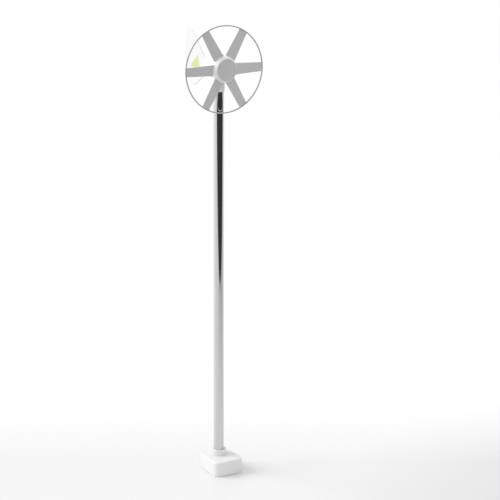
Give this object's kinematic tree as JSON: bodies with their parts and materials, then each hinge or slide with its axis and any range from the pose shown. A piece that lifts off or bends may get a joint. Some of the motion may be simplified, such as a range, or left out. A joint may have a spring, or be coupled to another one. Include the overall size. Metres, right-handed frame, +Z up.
{
  "type": "small horizontal-axis wind turbine",
  "caption": "Small ringed wind turbine with a tail fin that yaws on a chromed pole, standing on a white ballasted foot.",
  "frame": {"origin": "on the pole's axis, at the underside of the foot pad, which is the floor", "axes": "+Z up along the pole, -Y is the way the rotor faces into the wind, +X to the rotor's side"},
  "size_m": [0.4999, 0.5262, 2.675],
  "materials": {
    "rubber": "matt grey moulded rubber",
    "plate_steel": "light grey powder coat",
    "ballast_iron": "as-cast",
    "cover_white": "satin white",
    "shell_white": "satin white",
    "fin_white": "satin white",
    "rotor_grey": "matt light grey",
    "rim_grey": "matt mid grey",
    "decal_lime": "lime vinyl",
    "pole_chrome": "mirror polish",
    "fastener_steel": "zinc plated",
    "machined_steel": "turned",
    "bearing_steel": "ground",
    "core_steel": "laminated steel",
    "magnet_nickel": "nickel plated",
    "coil_copper": "enamelled copper wire",
    "brass": "polished",
    "cast_aluminium": "as-cast",
    "black_plastic": "moulded nylon",
    "board_green": "circuit board"
  },
  "bodies": {
    "mast": {"foot_pad": "rubber", "base_plate": "plate_steel", "ballast_block": "ballast_iron", "base_cover": "cover_white", "cover_screws": "fastener_steel", "pole_socket": "plate_steel", "socket_bolts": "fastener_steel", "foot_collar": "cover_white", "pole_clamp_screws": "fastener_steel", "cable_gland": "black_plastic", "gland_nut": "black_plastic", "pole": "pole_chrome", "yaw_spigot": "machined_steel", "spigot_screws": "fastener_steel", "yaw_bearing_inner_races": "bearing_steel", "yaw_spacer": "machined_steel", "yaw_shaft_nut": "fastener_steel", "slip_ring_drum": "black_plastic", "slip_rings": "brass"},
    "head": {"head_casting": "cast_aluminium", "nacelle_left": "shell_white", "nacelle_right": "shell_white", "nacelle_screws": "fastener_steel", "neck_sleeve": "shell_white", "neck_screws": "fastener_steel", "neck_seal": "rubber", "yaw_bearing_outer_races": "bearing_steel", "main_bearing_outer_races": "bearing_steel", "brush_holder": "black_plastic", "brushes": "brass", "rectifier_board": "board_green", "stator_core": "core_steel", "stator_coils": "coil_copper", "tail_fin": "fin_white", "fin_bolts": "fastener_steel", "fin_decals": "decal_lime"},
    "rotor": {"main_shaft": "machined_steel", "shaft_nut": "fastener_steel", "shaft_spacer": "machined_steel", "main_bearing_inner_races": "bearing_steel", "hub_carrier": "cast_aluminium", "flux_ring": "core_steel", "magnets": "magnet_nickel", "hub_shell": "shell_white", "hub_screws": "fastener_steel", "nose_disc": "rotor_grey", "blade_1": "rotor_grey", "blade_2": "rotor_grey", "blade_3": "rotor_grey", "blade_4": "rotor_grey", "blade_5": "rotor_grey", "blade_6": "rotor_grey", "blade_screws": "fastener_steel", "rim_ring": "rim_grey", "rim_screws": "fastener_steel"},
    "yaw_balls": {"yaw_bearing_ball_sets": "bearing_steel"},
    "shaft_balls": {"main_bearing_ball_sets": "bearing_steel"}
  },
  "joints": [
    {"name": "yaw", "type": "hinge", "parent": "mast", "child": "head", "pos_m": [0, 0, 2.425], "axis": [0, 0, 1], "continuous": true},
    {"name": "rotor_spin", "type": "hinge", "parent": "head", "child": "rotor", "pos_m": [0, -0.065, 2.425], "axis": [0, 1, 0], "continuous": true},
    {"name": "yaw_balls_roll", "type": "hinge", "parent": "mast", "child": "yaw_balls", "pos_m": [0, 0, 2.366], "axis": [0, 0, 1], "continuous": true},
    {"name": "shaft_balls_roll", "type": "hinge", "parent": "head", "child": "shaft_balls", "pos_m": [0, -0.0555, 2.425], "axis": [0, 1, 0], "continuous": true}
  ],
  "couplings": [
    {"joint": "yaw_balls_roll", "follows": "yaw", "ratio": 0.6179},
    {"joint": "shaft_balls_roll", "follows": "rotor_spin", "ratio": 0.38}
  ]
}
